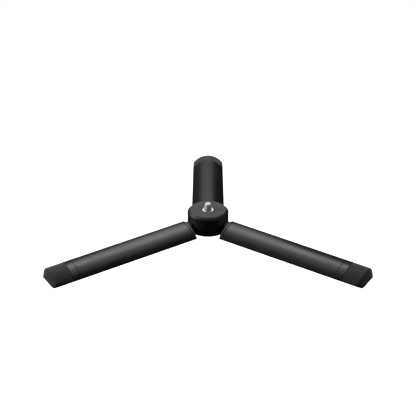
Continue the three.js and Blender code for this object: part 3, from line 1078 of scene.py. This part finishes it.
# A cylinder whose radius follows the thread's helix and narrows at the tip.
def studTree():
    inputs = {label: "NodeSocketFloat" for label in [*studSpec, "Bottom", "Top"]}
    inputs["Metal"] = "NodeSocketMaterial"
    tree, given, end, sockets = newTree("threadedStud", inputs)

    def maths(operation, first, second=0.0):
        return calculate(tree, operation, first, second)

    length = maths("SUBTRACT", given["Top"], given["Bottom"])
    rod = addNode(tree, "GeometryNodeMeshCylinder",
                  {"Vertices": 72, "Side Segments": 260, "Radius": given["Major radius"], "Depth": length})
    middle = maths("MULTIPLY", maths("ADD", given["Top"], given["Bottom"]), 0.5)
    lift = addNode(tree, "ShaderNodeCombineXYZ", {"Z": middle}).outputs[0]
    raised = addNode(tree, "GeometryNodeTransform", {"Geometry": rod.outputs["Mesh"], "Translation": lift})
    position = addNode(tree, "GeometryNodeInputPosition").outputs[0]
    parts = addNode(tree, "ShaderNodeSeparateXYZ", {0: position}).outputs
    turn = maths("DIVIDE", maths("ARCTAN2", parts["Y"], parts["X"]), 2 * math.pi)
    phase = maths("FRACT", maths("SUBTRACT", maths("DIVIDE", parts["Z"], given["Pitch"]), turn))
    slope = maths("ABSOLUTE", maths("SUBTRACT", maths("MULTIPLY", phase, 2.0), 1.0))
    flattened = addNode(tree, "ShaderNodeMapRange",
                        {"Value": slope, "From Min": 0.1, "From Max": 0.88, "To Min": 0.0, "To Max": 1.0})
    depth = maths("SUBTRACT", given["Major radius"], given["Minor radius"])
    thread = maths("ADD", given["Minor radius"], maths("MULTIPLY", depth, flattened.outputs["Result"]))
    fromTop = maths("SUBTRACT", given["Top"], parts["Z"])
    taper = addNode(tree, "ShaderNodeMapRange",
                    {"Value": fromTop, "From Min": 0.0, "From Max": given["Tip length"],
                     "To Min": given["Tip radius"], "To Max": given["Major radius"]})
    radius = maths("MINIMUM", thread, taper.outputs["Result"])
    share = maths("DIVIDE", radius, given["Major radius"])
    flat = addNode(tree, "ShaderNodeCombineXYZ", {"X": share, "Y": share, "Z": 1.0}).outputs[0]
    scaled = addNode(tree, "ShaderNodeVectorMath", {0: position, 1: flat}, operation="MULTIPLY").outputs[0]
    moved = addNode(tree, "GeometryNodeSetPosition", {"Geometry": raised.outputs[0], "Position": scaled})
    endTree(tree, moved.outputs[0], given["Metal"], end)
    return tree, sockets


def makeStud():
    tree, sockets = studTree()
    low, high = (corner.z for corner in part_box("camera_stud"))
    values = dict(studSpec, Bottom=low, Top=high, Metal=materials["threadSteel"])
    stud = bakeTree("cameraStud", tree, sockets, values)
    finishPiece(stud, "hub", "nickel", "camera_stud")


makeStud()
print("stud made")


def legBearing(name):
    place = joints[name]["pos_m"]
    return math.atan2(place[1], place[0])


coverScrewSpec = {"circle": 12.3, "drop": 0.1, "length": 7.5, "sinkMouth": 2.7, "sinkDepth": 1.5, "seed": 2}


def coverScrewPlaces():
    bearings = [legBearing(name) + math.radians(60) for name in legNames]
    return [Vector((math.cos(angle), math.sin(angle), 0)) * coverScrewSpec["circle"] for angle in bearings]


coverSpec = {"ringInner": 5.2, "ringOuter": 6.4, "ringDepth": 0.4, "rim": 0.2, "arcSteps": 24}


# A round plate with a notch below each slot, a shallow ring and three screw seats.
def makeCover():
    radius = hubSpec["coverRadius"]
    half = hubSpec["slotWidth"] / 2
    edge = math.asin(half / radius)
    mouth = math.sqrt(radius ** 2 - half ** 2)
    steps = coverSpec["arcSteps"]
    outline = []
    for name in sorted(legNames, key=legBearing):
        angle = legBearing(name)
        inner = pivotRadius(name) - hubSpec["slotRoom"]
        spin = Matrix.Rotation(angle, 2)
        notch = [(mouth, -half, 0.3), (inner, -half, 0.8), (inner, half, 0.8), (mouth, half, 0.3)]
        for x, y, rounding in notch:
            turned = spin @ Vector((x, y))
            outline.append((turned.x, turned.y, rounding))
        for step in range(1, steps):
            along = angle + edge + (2 * math.pi / 3 - 2 * edge) * step / steps
            outline.append((radius * math.cos(along), radius * math.sin(along), 0))
    shape = plateShape(roundCorners(outline), 0, hubSpec["coverThickness"], coverSpec["rim"])
    cover = makePiece("baseCover", shape, "linerBlack")
    first = coverSpec["ringInner"]
    last = coverSpec["ringOuter"]
    depth = coverSpec["ringDepth"]
    ring = turnedShape([(first, -1, 0), (last, -1, 0), (last, depth, 0.2), (first, depth, 0.2)], closed=True)
    cutters = [makePiece("cutter", ring, "linerBlack")]
    for place in coverScrewPlaces():
        sink = screwSink(coverScrewSpec["sinkMouth"], coverScrewSpec["sinkDepth"])
        cutters.append(makePiece("cutter", moveShape(sink, Matrix.Translation(place)), "linerBlack"))
    cutWith(cover, cutters)
    finishPiece(cover, "hub", "inner_black", "base_cover")


def makeCoverScrews():
    screw = makeScrew(coverScrewSpec["length"])
    over = Matrix.Rotation(math.radians(180), 4, "X")
    drop = Vector((0, 0, coverScrewSpec["drop"]))
    places = [Matrix.Translation(place + drop) @ over for place in coverScrewPlaces()]
    screws = setCopies("coverScrews", screw, places, "steel", math.pi, coverScrewSpec["seed"])
    dropPiece(screw)
    finishPiece(screws, "hub", "steel", "cover_screw_1", "cover_screw_2", "cover_screw_3")


makeCover()
makeCoverScrews()
print("base cover and its screws made")


# CAD pieces inside the hub and the legs that keep their own shape and only get a finish
carriedOver = {
    "steel": ["stud_nut", "stud_lock_washer"],
    "acetal": [],
    "linerBlack": [],
}
for legName in legNames:
    carriedOver["steel"].append(f"{legName}_hinge_pin")
    carriedOver["acetal"] += [f"{legName}_friction_washer_{side}" for side in ("outer", "inner")]
    carriedOver["linerBlack"].append(f"{legName}_foot_plug")


def paintNodes():
    for material, names in carriedOver.items():
        for name in names:
            mesh = frame["nodes"][name].data
            mesh.materials.clear()
            mesh.materials.append(materials[material])


paintNodes()
print("inner parts painted")
